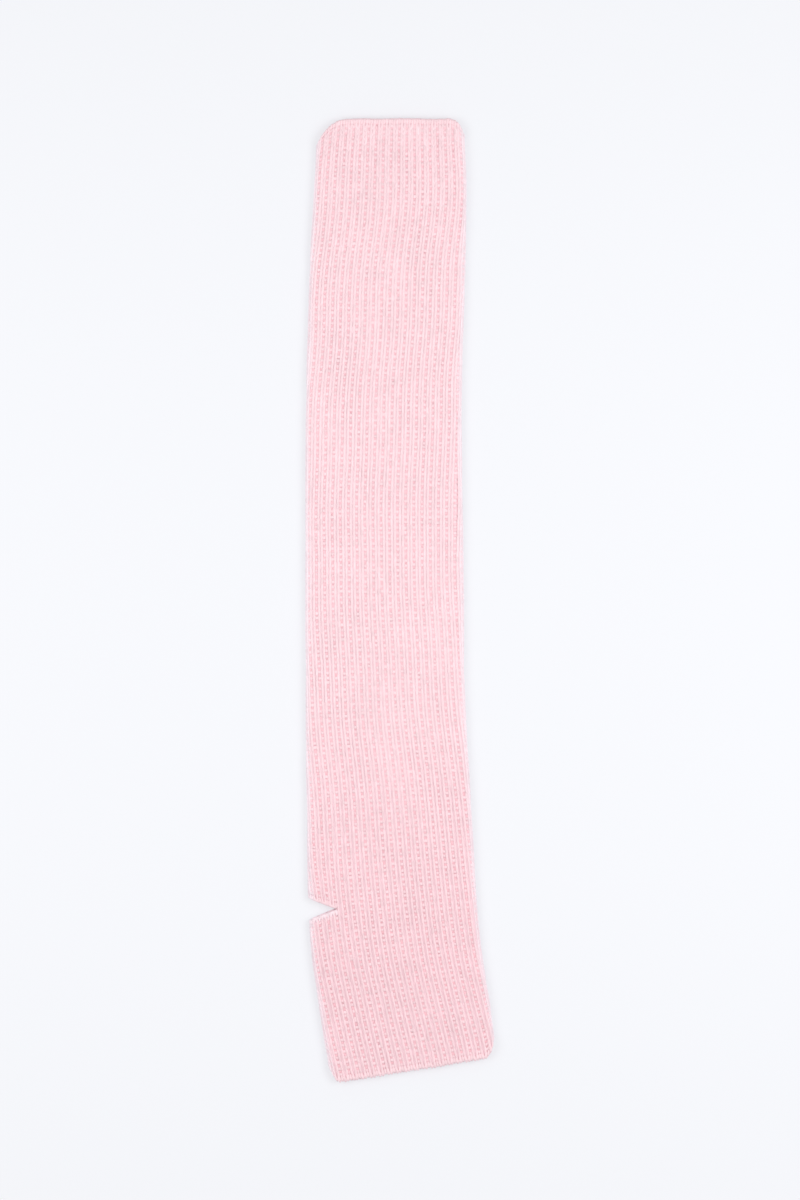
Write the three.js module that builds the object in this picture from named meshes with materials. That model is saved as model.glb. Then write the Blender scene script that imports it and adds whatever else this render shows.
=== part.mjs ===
// A rib-knit leg warmer, laid out flat.
//
// It is one knitted tube, open at its knee edge and at its foot edge, with a heel slot bound off
// across its left side fold. It lies flattened: an under layer, an upper layer on it, and a
// rounded fold down each side. Its 1x1 ribs run the whole length and stand up from the outer
// face. The inside is plain, and the face that rests on the surface is flat.
//
// Millimetres. X runs across the tube, Y from the foot edge (-) to the knee edge (+), and Z up
// from the surface that the tube lies on. The origin is the bottom centre of the whole.
import * as THREE from "three";

// The knitted wall.
const RIB_COUNT = 40; // all round the tube
const WALL = 3.0; // over the crest of a rib
const LAYER_GAP = 0.4; // between the inner faces of the two layers
const GROOVE_DEPTH = 1.4; // of the purl groove between two ribs
const STRAND_DIP = 0.4; // of the line between the two strands of a rib
const FOLD_RADIUS = WALL + LAYER_GAP / 2; // outside a side fold
const FOLD_RELIEF = 0.35; // share of the relief that is left where a rib turns over a fold

// The lie of the flat tube: for each place along it, the middle of its width, its width from
// fold to fold, the tilt of its courses in degrees, and how many ribs the knit has rolled over
// the left fold on to the underside.
const STATIONS = [
  { y: -327.9, x: 10.2, width: 116.8, tilt: 9.1, roll: -1.1 },
  { y: -285, x: 3.8, width: 118.2, tilt: 8.0, roll: -0.65 },
  { y: -245, x: -2.2, width: 118.0, tilt: 5.6, roll: -0.25 },
  { y: -200, x: -5.4, width: 117.0, tilt: 3.7, roll: 0.1 },
  { y: -150, x: -7.1, width: 115.0, tilt: 2.5, roll: 0.5 },
  { y: -70, x: -9.8, width: 111.3, tilt: 1.0, roll: 1.3 },
  { y: 14, x: -10.3, width: 110.3, tilt: 0.1, roll: 1.85 },
  { y: 140, x: -10.8, width: 108.7, tilt: -0.5, roll: 1.4 },
  { y: 230, x: -8.2, width: 108.3, tilt: -1.0, roll: 0.9 },
  { y: 290, x: -6.3, width: 106.0, tilt: -0.4, roll: 0.4 },
  { y: 332.5, x: -5.9, width: 102.0, tilt: 0, roll: 0.3 },
];
const FOOT_Y = STATIONS[0].y;
const KNEE_Y = STATIONS.at(-1).y;

// Each corner of the flat tube draws back from its edge: by rise at the fold, and by nothing at
// reach in from the fold. side is -1 at the left fold and 1 at the right one.
const CORNERS = [
  { edge: FOOT_Y, side: -1, reach: 9, rise: 11 },
  { edge: FOOT_Y, side: 1, reach: 12, rise: 13 },
  { edge: KNEE_Y, side: -1, reach: 26, rise: 18.5 },
  { edge: KNEE_Y, side: 1, reach: 12.5, rise: 11 },
];
const CORNER_POWER = 3;
const CORNER_SOFTENS = 60; // along the tube, until the courses run straight again

// The heel slot: ribs bound off across the left fold. Its two lips gape at the fold, the one
// below it less than the one above.
const SLOT = { y: -212.9, ribs: 7, gapeBelow: 6.0, gapeAbove: 8.2, softens: 60, lean: 2.5 };

// The cast-on and bound-off edges are plain bands with a rounded lip.
const BAND = { lip: 1.2, plain: 1.5, ribbed: 5, drop: 0.8 };
const FOOT_SCALLOP = 0.7; // by which each rib stands past the foot edge

// Courses that get a row of points: close together beside an edge, evenly spread between.
const ROWS_BY_EDGE = [0, 1.2, 5, 20];
const ROW_SPACING = 42;

// Points across a rib, as shares of its width from one groove to the next, and how deep each
// lies. A rib that may turn over a fold has as many points inside as outside, and one that stays
// on the underside is flat.
const RAISED = [
  { share: 0, depth: GROOVE_DEPTH },
  { share: 0.28, depth: 0 },
  { share: 0.5, depth: STRAND_DIP },
  { share: 0.72, depth: 0 },
];
const RIB_KINDS = {
  upper: { outer: RAISED, inner: [0] },
  fold: { outer: RAISED, inner: RAISED.map(({ share }) => share) },
  flat: { outer: [{ share: 0, depth: 0 }], inner: [0] },
};

const clamp01 = (value) => Math.min(1, Math.max(0, value));

// 0 below from, 1 above to, and a smooth step between.
function smoothStep(from, to, value) {
  const share = clamp01((value - from) / (to - from));
  return share * share * (3 - 2 * share);
}

// One column of the stations at y, on a cubic through its rows.
function stationValue(column, y) {
  const last = STATIONS.length - 1;
  const slope = (i) => {
    const low = STATIONS[Math.max(i - 1, 0)];
    const high = STATIONS[Math.min(i + 1, last)];
    return (high[column] - low[column]) / (high.y - low.y);
  };
  let i = 0;
  while (i < last - 1 && y > STATIONS[i + 1].y) i += 1;
  const [a, b] = [STATIONS[i], STATIONS[i + 1]];
  const span = b.y - a.y;
  const t = (y - a.y) / span;
  return (
    a[column] * (1 - t) ** 2 * (1 + 2 * t) +
    slope(i) * span * t * (1 - t) ** 2 +
    b[column] * t ** 2 * (3 - 2 * t) +
    slope(i + 1) * span * t ** 2 * (t - 1)
  );
}

// The section of the tube at y: its width from fold to fold, the straight run of each layer,
// the length round its outside, the width of a rib there, and how the section lies.
function sectionAt(y) {
  const width = stationValue("width", y);
  const straight = width - 2 * FOLD_RADIUS;
  const perimeter = 2 * straight + 2 * Math.PI * FOLD_RADIUS;
  return {
    width,
    straight,
    perimeter,
    rib: perimeter / RIB_COUNT,
    middle: stationValue("x", y),
    tilt: THREE.MathUtils.degToRad(stationValue("tilt", y)),
    roll: stationValue("roll", y),
  };
}

// The point of a section at a distance round from the left fold, positive over the upper layer,
// and at a depth below the crests. A section is straight above and below, with a half circle at
// each fold. upper is the share of the relief there: 1 on the upper layer, 0 on the underside.
function roundSection(section, distance, depth) {
  const wrapped = distance - section.perimeter * Math.round(distance / section.perimeter);
  const way = wrapped < 0 ? -1 : 1;
  const quarter = (FOLD_RADIUS * Math.PI) / 2;
  const past = Math.abs(wrapped) - quarter;
  const centre = section.width / 2 - FOLD_RADIUS;
  const radius = FOLD_RADIUS - depth;
  const overLeft = past < 0;
  const overRight = past > section.straight;
  let across = past - centre;
  let lift = radius;
  let level = 1;
  if (overLeft || overRight) {
    const over = overLeft ? -past : past - section.straight;
    const angle = over / FOLD_RADIUS;
    across = (overLeft ? -1 : 1) * (centre + radius * Math.sin(angle));
    lift = radius * Math.cos(angle);
    level = 1 - angle / (Math.PI / 2);
  }
  const upper = way > 0 ? FOLD_RELIEF + (1 - FOLD_RELIEF) * level : FOLD_RELIEF * (1 - level);
  return { across, height: FOLD_RADIUS + way * lift, upper };
}

const halfSlot = SLOT.ribs / 2;

// How near a course is to the slot's: 1 on it, and 0 where the cloth has stopped giving way.
const slotFade = (y) => clamp01(1 - Math.abs(y - SLOT.y) / SLOT.softens) ** 2;

// How far along the tube a place across the course at y comes to lie, once the corners have
// drawn back and the lips of the slot have parted. side is -1 below the slot and 1 above it.
function drawnAlong(course, across, y, side) {
  let along = y;
  for (const { edge, side: fold, reach, rise } of CORNERS) {
    const fromFold = course.width / 2 - fold * across;
    const drawn = rise * clamp01(1 - fromFold / reach) ** CORNER_POWER;
    const fade = clamp01(1 - Math.abs(y - edge) / CORNER_SOFTENS) ** 2;
    along += (edge === FOOT_Y ? 1 : -1) * drawn * fade;
  }
  const slotEnd = roundSection(course, halfSlot * course.rib, 0).across;
  const opened = clamp01((slotEnd - across) / (slotEnd + course.width / 2));
  const gape = side < 0 ? SLOT.gapeBelow : SLOT.gapeAbove;
  return along + side * gape * opened * slotFade(y);
}

// A point of the tube: u ribs round, on the course that crosses the middle line at y, and depth
// below the crests before the relief fades. lip is 1 or -1 on the slot's own course, for the
// side of the slot that the point belongs to.
function tubePoint(u, y, depth, lip = 0) {
  const course = sectionAt(y);
  const side = lip || Math.sign(y - SLOT.y);
  const insideSlot = clamp01(1 - Math.abs(u) / halfSlot);
  const lean = side > 0 ? SLOT.lean * slotFade(y) * insideSlot : 0;
  const around = u - course.roll + lean / course.rib;
  const crest = roundSection(course, around * course.rib, 0);

  // A plain band takes the place of the ribs beside an edge, and its lip is lower.
  const besideSlot = smoothStep(0, 0.3, insideSlot);
  const fromSlot = besideSlot > 0 ? Math.abs(y - SLOT.y) / besideSlot : Infinity;
  const fromEdge = Math.min(y - FOOT_Y, KNEE_Y - y, fromSlot);
  const ribbed = smoothStep(BAND.plain, BAND.ribbed, fromEdge);
  const lipDrop = BAND.drop * (1 - smoothStep(0, BAND.lip, fromEdge));
  const relief = Math.max(depth * ribbed, lipDrop) * crest.upper;

  // The ribs end in shallow scallops at the foot edge.
  const raised = 1 - Math.min(depth / GROOVE_DEPTH, 1);
  const scallop = FOOT_SCALLOP * raised * (1 - smoothStep(0, BAND.ribbed, y - FOOT_Y));
  const along = drawnAlong(course, crest.across, y, side) - scallop;

  const section = sectionAt(along);
  const point = roundSection(section, around * section.rib, depth < WALL ? relief : WALL);
  return new THREE.Vector3(
    section.middle + point.across * Math.cos(section.tilt),
    along + point.across * Math.sin(section.tilt),
    point.height,
  );
}

// The courses that get points, from the foot edge to the knee edge.
function courseRows() {
  const beside = [
    ...ROWS_BY_EDGE.map((gap) => FOOT_Y + gap),
    ...ROWS_BY_EDGE.map((gap) => SLOT.y - gap),
    ...ROWS_BY_EDGE.slice(1).map((gap) => SLOT.y + gap),
    ...ROWS_BY_EDGE.map((gap) => KNEE_Y - gap),
  ].sort((a, b) => a - b);
  const rows = [beside[0]];
  for (const y of beside.slice(1)) {
    const from = rows.at(-1);
    const spans = Math.ceil((y - from) / ROW_SPACING);
    for (let i = 1; i <= spans; i += 1) rows.push(from + ((y - from) * i) / spans);
  }
  return rows;
}

// The ribs in order round the tube. Rib 0 is on the left fold at the slot and a positive rib is
// on the upper layer. The roll carries some ribs over a fold, and the rest stay on one layer.
function ribsRound() {
  const rolls = STATIONS.map((station) => station.roll);
  const turnsOver = 1.4; // ribs from a fold within which a rib is still turning
  const onLayer = (ribsFromLeftFold) =>
    ribsFromLeftFold - Math.max(...rolls) > turnsOver &&
    ribsFromLeftFold - Math.min(...rolls) < RIB_COUNT / 2 - turnsOver;
  return Array.from({ length: RIB_COUNT }, (_, i) => {
    const centre = i - RIB_COUNT / 2 + 1;
    let kind = "fold";
    if (onLayer(centre)) kind = "upper";
    if (onLayer(centre + RIB_COUNT / 2)) kind = "flat";
    return { from: centre - 0.5, ...RIB_KINDS[kind] };
  });
}

// The wall of the tube as one closed mesh: an outer skin, an inner skin, and a rim between the
// two at each end and round the slot.
function knittedTube() {
  const positions = [];
  const faces = [];
  const addPoint = (...place) => positions.push(tubePoint(...place)) - 1;
  const addFace = (a, b, c, flipped) => faces.push(...(flipped ? [a, c, b] : [a, b, c]));

  // Each row keeps its points twice: as the cloth below it meets them and as the cloth above
  // it does. The two differ only where the slot is open.
  const ribs = ribsRound();
  const rows = courseRows().map((y) => {
    const isSlot = Math.abs(y - SLOT.y) < 1e-6;
    const lookAt = (u, depth) => {
      if (!isSlot || Math.abs(u) >= halfSlot) {
        const shared = addPoint(u, y, depth);
        return [shared, shared];
      }
      return [addPoint(u, y, depth, -1), addPoint(u, y, depth, 1)];
    };
    const skin = ribs.map((rib) => ({
      outer: rib.outer.map(({ share, depth }) => lookAt(rib.from + share, depth)),
      inner: rib.inner.map((share) => lookAt(rib.from + share, WALL)),
    }));
    return { isSlot, skin };
  });

  // The outer and the inner points of a rib, each up to the first one of the next rib.
  const meets = (row, index, side) => {
    const rib = row.skin[index];
    const next = row.skin[(index + 1) % RIB_COUNT];
    return {
      outer: [...rib.outer, next.outer[0]].map((pair) => pair[side]),
      inner: [...rib.inner, next.inner[0]].map((pair) => pair[side]),
    };
  };
  const BELOW = 0;
  const ABOVE = 1;

  // The rim of one rib, facing the foot, or flipped, facing the knee. It steps along both skins,
  // always on the one that is further behind.
  const addRim = ({ outer, inner }, flipped) => {
    let i = 0;
    let j = 0;
    while (i < outer.length - 1 || j < inner.length - 1) {
      if ((i + 1) / (outer.length - 1) <= (j + 1) / (inner.length - 1)) {
        addFace(outer[i + 1], outer[i], inner[j], flipped);
        i += 1;
      } else {
        addFace(outer[i], inner[j], inner[j + 1], flipped);
        j += 1;
      }
    }
  };

  for (let index = 0; index < RIB_COUNT; index += 1) {
    for (let r = 0; r < rows.length - 1; r += 1) {
      const low = meets(rows[r], index, ABOVE);
      const high = meets(rows[r + 1], index, BELOW);
      for (const [skin, flipped] of [["outer", false], ["inner", true]]) {
        for (let i = 0; i < low[skin].length - 1; i += 1) {
          addFace(low[skin][i], low[skin][i + 1], high[skin][i + 1], flipped);
          addFace(low[skin][i], high[skin][i + 1], high[skin][i], flipped);
        }
      }
    }
    addRim(meets(rows[0], index, ABOVE), false);
    addRim(meets(rows.at(-1), index, BELOW), true);
    const centre = ribs[index].from + 0.5;
    if (Math.abs(centre) < halfSlot) {
      const slotRow = rows.find((row) => row.isSlot);
      addRim(meets(slotRow, index, ABOVE), false);
      addRim(meets(slotRow, index, BELOW), true);
    }
  }

  const geometry = new THREE.BufferGeometry().setFromPoints(positions);
  geometry.setIndex(faces);
  return geometry;
}

// The origin goes to the bottom centre of the whole.
function toBottomCentre(geometry) {
  geometry.computeBoundingBox();
  const centre = geometry.boundingBox.getCenter(new THREE.Vector3());
  geometry.translate(-centre.x, -centre.y, -geometry.boundingBox.min.z);
  geometry.computeVertexNormals();
  return geometry;
}

const ribKnit = new THREE.MeshStandardMaterial({
  color: "#fcdbe0",
  roughness: 0.95,
  metalness: 0,
});

const legTube = new THREE.Mesh(toBottomCentre(knittedTube()), ribKnit);
legTube.name = "leg_tube";

const legWarmer = new THREE.Group();
legWarmer.name = "leg_warmer";
legWarmer.add(legTube);

export default legWarmer;
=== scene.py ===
"""A rib-knit leg warmer with a heel slot, laid flat, knitted stitch by stitch on its CAD frame."""

import math
from collections import namedtuple

import bpy
import numpy as np
from bpy.props import FloatProperty, FloatVectorProperty, IntProperty, PointerProperty
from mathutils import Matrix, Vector


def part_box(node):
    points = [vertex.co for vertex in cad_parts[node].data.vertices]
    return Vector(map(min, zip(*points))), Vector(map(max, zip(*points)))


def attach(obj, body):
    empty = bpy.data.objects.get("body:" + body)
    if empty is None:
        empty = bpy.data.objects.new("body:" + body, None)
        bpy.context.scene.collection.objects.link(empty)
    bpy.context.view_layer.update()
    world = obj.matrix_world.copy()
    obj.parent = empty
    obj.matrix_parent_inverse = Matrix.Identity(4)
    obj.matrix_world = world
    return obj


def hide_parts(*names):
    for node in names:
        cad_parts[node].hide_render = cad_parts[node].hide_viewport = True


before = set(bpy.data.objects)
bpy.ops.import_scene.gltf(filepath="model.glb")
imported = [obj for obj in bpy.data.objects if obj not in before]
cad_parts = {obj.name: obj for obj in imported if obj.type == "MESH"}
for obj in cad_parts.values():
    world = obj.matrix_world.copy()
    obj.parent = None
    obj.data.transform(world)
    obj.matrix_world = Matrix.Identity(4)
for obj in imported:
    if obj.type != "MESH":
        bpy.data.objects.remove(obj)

bl_info = {
    "name": "Rib-knit leg warmer",
    "version": (1, 0, 0),
    "blender": (4, 5, 0),
    "location": "3D View > Sidebar > Leg warmer",
    "description": "Knits a leg warmer with a heel slot and lays it flat on a studio floor",
    "category": "Object",
}

SOLID = "leg_tube"  # the CAD node that the knitting stands for
MM = 0.001  # tables and knit coordinates are in millimetres, and meshes in metres

# The lie of the flat tube, in millimetres and degrees: for each place along it, the middle of
# its width, its width from fold to fold, the tilt of its courses, and how many ribs the knit
# has rolled over the left fold on to the underside.
Station = namedtuple("Station", "y x width tilt roll")
STATIONS = (
    Station(-327.9, 10.2, 116.8, 9.1, -1.1),
    Station(-285, 3.8, 118.2, 8.0, -0.65),
    Station(-245, -2.2, 118.0, 5.6, -0.25),
    Station(-200, -5.4, 117.0, 3.7, 0.1),
    Station(-150, -7.1, 115.0, 2.5, 0.5),
    Station(-70, -9.8, 111.3, 1.0, 1.3),
    Station(14, -10.3, 110.3, 0.1, 1.85),
    Station(140, -10.8, 108.7, -0.5, 1.4),
    Station(230, -8.2, 108.3, -1.0, 0.9),
    Station(290, -6.3, 106.0, -0.4, 0.4),
    Station(332.5, -5.9, 102.0, 0, 0.3),
)
FOOT_Y = STATIONS[0].y
KNEE_Y = STATIONS[-1].y

# Each corner draws back from its edge: by rise at the fold, and by nothing at reach from it.
# fold is -1 for the left fold and 1 for the right one.
Corner = namedtuple("Corner", "edge fold reach rise")
CORNERS = (
    Corner(FOOT_Y, -1, 9, 11),
    Corner(FOOT_Y, 1, 12, 13),
    Corner(KNEE_Y, -1, 26, 18.5),
    Corner(KNEE_Y, 1, 12.5, 11),
)
CORNER_POWER = 3  # how suddenly a corner draws back
CORNER_SOFTENS = 60  # how far along the tube that is felt

# The heel slot: ribs bound off across the left fold. Its two lips gape at the fold, the one
# below it less than the one above. softens is how far along the tube the cloth gives way, and
# lean is how far the ribs above it lean over towards the fold.
Slot = namedtuple("Slot", "y ribs gape_below gape_above softens lean")
SLOT = Slot(y=-212.9, ribs=7, gape_below=6.0, gape_above=8.2, softens=60, lean=2.5)
HALF_SLOT = SLOT.ribs / 2

# The parts of the tube below the slot and above it, from course to course.
Part = namedtuple("Part", "side low high")
PARTS = (Part(-1, FOOT_Y, SLOT.y), Part(1, SLOT.y, KNEE_Y))

# Where the cloth beside a fold begins to count as turned over it, and where it fully does, in
# radii of the fold past the end of the flat layer.
TURNS_FROM, TURNS_BY = -0.6, 1.1
SWAY = 0.11  # how far the ribs sway from a straight run, in ribs
SWAY_REACH = 75.0  # the shortest length of tube that they sway over
SWAY_ACROSS = 0.15  # how far neighbours sway apart: 0 would have all the ribs sway as one
SWAY_SEED = 12
DRIFT_WAVES = 6  # waves that a drift is the sum of
DRIFT_RIBS = 6  # ribs in the shortest wave across
FIT_STEPS, FIT_ROWS = 8, 241  # steps on each rib, and rows, that the box of the crests is read at


# ---------------------------------------------------------------- sizes and colours


def linear(colour):
    """An sRGB hex value, such as "#ffffff", turned to linear."""
    shares = [int(colour[i : i + 2], 16) / 255 for i in (1, 3, 5)]
    return tuple(c / 12.92 if c <= 0.04045 else ((c + 0.055) / 1.055) ** 2.4 for c in shares)


class LegWarmerSizes(bpy.types.PropertyGroup):
    """Sizes of the knit"""

    ribs: IntProperty(
        name="Ribs", description="Ribs all round the tube", default=40, min=24, max=64
    )
    wall: FloatProperty(
        name="Wall", description="Thickness of the cloth", default=0.003, unit="LENGTH"
    )
    layer_gap: FloatProperty(
        name="Layer gap",
        description="Room between the two layers of the flat tube",
        default=0.0004,
        unit="LENGTH",
    )
    course: FloatProperty(
        name="Course", description="Height of one row of stitches", default=0.00371, unit="LENGTH"
    )
    yarn: FloatProperty(
        name="Yarn", description="Thickness of the yarn in a stitch", default=0.00208, unit="LENGTH"
    )


class LegWarmerColours(bpy.types.PropertyGroup):
    """Colours of the yarn and the studio"""

    crest: FloatVectorProperty(
        name="Yarn", description="The yarn on top of a rib", subtype="COLOR",
        size=3, min=0, max=1, default=linear("#f9dde2"),
    )
    # Painted shade: the colour that the yarn is given as it lies deeper between the ribs.
    hollow_shade: FloatVectorProperty(
        name="Hollow", description="The yarn deep between two ribs", subtype="COLOR",
        size=3, min=0, max=1, default=linear("#fad2d9"),
    )
    # Partly painted light: this paler, greyer colour is laid on where the cloth turns over a fold as
    # painted sheen, and also on the slot's lower lip and the middle of each rib.
    bloom: FloatVectorProperty(
        name="Bloom", description="The loose fibre that shows where the cloth turns over a fold",
        subtype="COLOR", size=3, min=0, max=1, default=linear("#f8e9f0"),
    )
    board: FloatVectorProperty(
        name="Board", description="The light table", subtype="COLOR",
        size=3, min=0, max=1, default=linear("#acadb0"),
    )
    board_glow: FloatVectorProperty(
        name="Glow", description="The light that comes up through the light table",
        subtype="COLOR", size=3, min=0, max=1, default=linear("#fafbff"),
    )


# ---------------------------------------------------------------- the lie of the tube


Section = namedtuple("Section", "width straight perimeter rib x tilt roll")
Placed = namedtuple("Placed", "across height")


def clamp01(value):
    """The value, brought to between 0 and 1."""
    return np.clip(value, 0, 1)


def smooth_step(low, high, value):
    """0 below low, 1 above high, and a smooth step between."""
    share = clamp01((value - low) / (high - low))
    return share * share * (3 - 2 * share)


def along_stations(column, y):
    """One column of the stations at y, on a cubic through its rows."""
    at = np.array([station.y for station in STATIONS])
    value = np.array([getattr(station, column) for station in STATIONS])
    last = len(at) - 1
    low = np.maximum(np.arange(last + 1) - 1, 0)
    high = np.minimum(np.arange(last + 1) + 1, last)
    slope = (value[high] - value[low]) / (at[high] - at[low])
    i = np.clip(np.searchsorted(at, y) - 1, 0, last - 1)
    span = at[i + 1] - at[i]
    t = (y - at[i]) / span
    return (
        value[i] * (1 - t) ** 2 * (1 + 2 * t)
        + slope[i] * span * t * (1 - t) ** 2
        + value[i + 1] * t**2 * (3 - 2 * t)
        + slope[i + 1] * span * t**2 * (t - 1)
    )


class LaidTube:
    """Where each place of the knit comes to lie when the tube is laid flat."""

    def __init__(self, sizes):
        self.ribs = sizes.ribs
        self.wall = sizes.wall / MM
        self.fold_radius = self.wall + sizes.layer_gap / MM / 2
        self.course = sizes.course / MM
        self.yarn = sizes.yarn / MM
        self.shift = np.zeros(3)
        self.fit_to_frame()

    def section(self, y):
        """The section of the tube at y: its sizes, and how it lies."""
        width = along_stations("width", y)
        straight = width - 2 * self.fold_radius
        perimeter = 2 * straight + 2 * math.pi * self.fold_radius
        tilt = np.radians(along_stations("tilt", y))
        x, roll = along_stations("x", y), along_stations("roll", y)
        return Section(width, straight, perimeter, perimeter / self.ribs, x, tilt, roll)

    def round_section(self, section, distance, depth):
        """The point at a distance round from the left fold, positive over the upper layer."""
        wrapped = distance - section.perimeter * np.round(distance / section.perimeter)
        way = np.where(wrapped < 0, -1.0, 1.0)
        past = np.abs(wrapped) - self.fold_radius * math.pi / 2
        centre = section.width / 2 - self.fold_radius
        radius = self.fold_radius - depth
        over = np.where(past < 0, -past, past - section.straight)
        angle = np.clip(over, 0, None) / self.fold_radius
        fold = np.where(past < 0, -1.0, 1.0)
        across = np.where(over > 0, fold * (centre + radius * np.sin(angle)), past - centre)
        return Placed(across, self.fold_radius + way * radius * np.cos(angle))

    def drawn_along(self, course, across, y, side):
        """Where y comes to lie once the corners have drawn back and the slot has opened."""
        along = y.copy()
        for corner in CORNERS:
            from_fold = course.width / 2 - corner.fold * across
            drawn = corner.rise * clamp01(1 - from_fold / corner.reach) ** CORNER_POWER
            fade = clamp01(1 - np.abs(y - corner.edge) / CORNER_SOFTENS) ** 2
            along += (1 if corner.edge == FOOT_Y else -1) * drawn * fade
        slot_end = self.round_section(course, HALF_SLOT * course.rib, 0.0).across
        opened = clamp01((slot_end - across) / (slot_end + course.width / 2))
        gape = np.where(side < 0, SLOT.gape_below, SLOT.gape_above)
        return along + side * gape * opened * slot_fade(y)

    def point(self, u, y, depth, side):
        """A place of the knit, in millimetres, in the frame of the part.

        u is in ribs round from the left fold, y is the course where it crosses the middle
        line, and depth is below the crest of the ribs. side is -1 below the slot, 1 above it.
        """
        given = (np.asarray(each, float) for each in (u, y, depth, side))
        u, y, depth, side = np.broadcast_arrays(*given)
        u = u + SWAY * drift(SWAY_SEED, u * SWAY_ACROSS, y, SWAY_REACH)
        course = self.section(y)
        inside_slot = clamp01(1 - np.abs(u) / HALF_SLOT)
        lean = np.where(side > 0, SLOT.lean * slot_fade(y) * inside_slot, 0)
        around = u - course.roll + lean / course.rib
        crest = self.round_section(course, around * course.rib, 0.0)
        along = self.drawn_along(course, crest.across, y, side)
        section = self.section(along)
        placed = self.round_section(section, around * section.rib, depth)
        x = section.x + placed.across * np.cos(section.tilt)
        y = along + placed.across * np.sin(section.tilt)
        return np.stack([x, y, placed.height], -1) + self.shift

    def turned_down(self, u, y):
        """How far the cloth has turned over a fold: 0 on a flat layer, 1 round the fold."""
        section = self.section(y)
        around = (u - section.roll) * section.rib
        wrapped = np.abs(around - section.perimeter * np.round(around / section.perimeter))
        past = np.abs(wrapped - section.perimeter / 4) - section.straight / 2
        return smooth_step(TURNS_FROM * self.fold_radius, TURNS_BY * self.fold_radius, past)

    def fit_to_frame(self):
        """Brings the crest of the ribs to where the CAD solid lies."""
        low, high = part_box(SOLID)
        u = np.linspace(-self.ribs / 2, self.ribs / 2, self.ribs * FIT_STEPS + 1)
        y = np.linspace(FOOT_Y, KNEE_Y, FIT_ROWS)
        crest = self.point(u[None], y[:, None], 0.0, np.sign(y - SLOT.y)[:, None]).reshape(-1, 3)
        middle = (crest.min(0) + crest.max(0)) / 2
        wanted = np.array((low + high) / 2) / MM
        self.shift = np.array([wanted[0] - middle[0], wanted[1] - middle[1], low.z / MM])


def drift(seed, u, y, reach):
    """A slow random drift over the cloth, mostly between -1 and 1, with no wave shorter than reach."""
    draw = np.random.default_rng(seed)
    total = np.zeros(np.broadcast(u, y).shape)
    for _ in range(DRIFT_WAVES):
        across, along, phase = draw.uniform(-1, 1), draw.uniform(-1, 1), draw.uniform(0, 2 * math.pi)
        total += np.sin(2 * math.pi * (across * u / DRIFT_RIBS + along * y / reach) + phase)
    return 2 * total / DRIFT_WAVES


def slot_fade(y):
    """How near a course is to the slot's: 1 on it, 0 where the cloth has stopped giving way."""
    return clamp01(1 - np.abs(y - SLOT.y) / SLOT.softens) ** 2


# ---------------------------------------------------------------- strands of yarn


# A strand's points and the faces on them, where its middle line runs across at each point, and,
# for each face corner, how far round it lies and how far along, both as shares of the whole.
Strand = namedtuple("Strand", "points corners starts middle around along length")
TIP = 0.4  # the room on the map for each end of a strand, in steps between its rings


def strand(path, radii, sides, beside, squash=1.0):
    """One closed strand of yarn along a path of (across, along, out) points, in millimetres.

    beside is the direction that stays level across the strand, and squash is how thick the
    strand is for its width.
    """
    path = np.array(path, float)
    length = np.linalg.norm(np.diff(path, axis=0), axis=1).sum()
    step = np.gradient(path, axis=0)
    step /= np.linalg.norm(step, axis=1)[:, None]
    level = np.array(beside, float) - (step @ np.array(beside, float))[:, None] * step
    level /= np.linalg.norm(level, axis=1)[:, None]
    upright = np.cross(level, step)
    angle = np.pi / 2 + 2 * np.pi * np.arange(sides) / sides
    over, up = np.cos(angle)[None, :, None], squash * np.sin(angle)[None, :, None]
    ring = over * level[:, None] + up * upright[:, None]
    points = (path[:, None] + np.array(radii)[:, None, None] * ring).reshape(-1, 3)
    corners, starts, around, along = [], [], [], []
    rings = len(path)
    for i in range(rings - 1):
        for j in range(sides):
            k = (j + 1) % sides
            starts.append(len(corners))
            corners += [i * sides + j, i * sides + k, (i + 1) * sides + k, (i + 1) * sides + j]
            around += [j / sides, (j + 1) / sides, (j + 1) / sides, j / sides]
            along += [i, i, i + 1, i + 1]
    for end, order in ((0, range(sides - 1, -1, -1)), (rings - 1, range(sides))):
        starts.append(len(corners))
        corners += [end * sides + j for j in order]
        # An end's face is laid out on the map just past the last ring, as an ellipse.
        around += [0.5 + 0.5 * math.cos(2 * math.pi * j / sides) for j in order]
        tip = TIP / 2 * (1 if end else -1)
        along += [end + tip * (1 + math.sin(2 * math.pi * j / sides)) for j in order]
    along = (np.array(along) + TIP) / (rings - 1 + 2 * TIP)
    middle = np.repeat(path[:, 0], sides)
    return Strand(points, np.array(corners), np.array(starts), middle, np.array(around), along, length)


def mirrored(kind):
    """The same strand with left and right changed over."""
    ends = np.append(kind.starts[1:], len(kind.corners))
    order = np.concatenate([np.arange(b - 1, a - 1, -1) for a, b in zip(kind.starts, ends)])
    return kind._replace(
        points=kind.points * (-1, 1, 1),
        corners=kind.corners[order],
        middle=-kind.middle,
        around=kind.around[order],
        along=kind.along[order],
    )


MAP = "OFBake"  # each strand has its own cell of this map
# The maps and attributes of a strand. Its material reads all but the first: the turns of the plies,
# how deep it lies, which sets its painted shade, how far it takes on more of that painted shade, its
# lightness, which differs at random and is partly painted shade, and how much of the pale
# fibre-and-sheen colour it takes on.
STRAND_LAYERS = (MAP, "twist", "shade", "stretch_shade", "tone_and_shade", "bloom")
INSIDE_CLEAR = 0.05  # how far every strand stays clear of the inside of the cloth
CELL_MARGIN = 0.08  # share of a cell that is left free at each side
PLY_TURNS = 0.42  # turns of the plies in a millimetre of yarn

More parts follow.
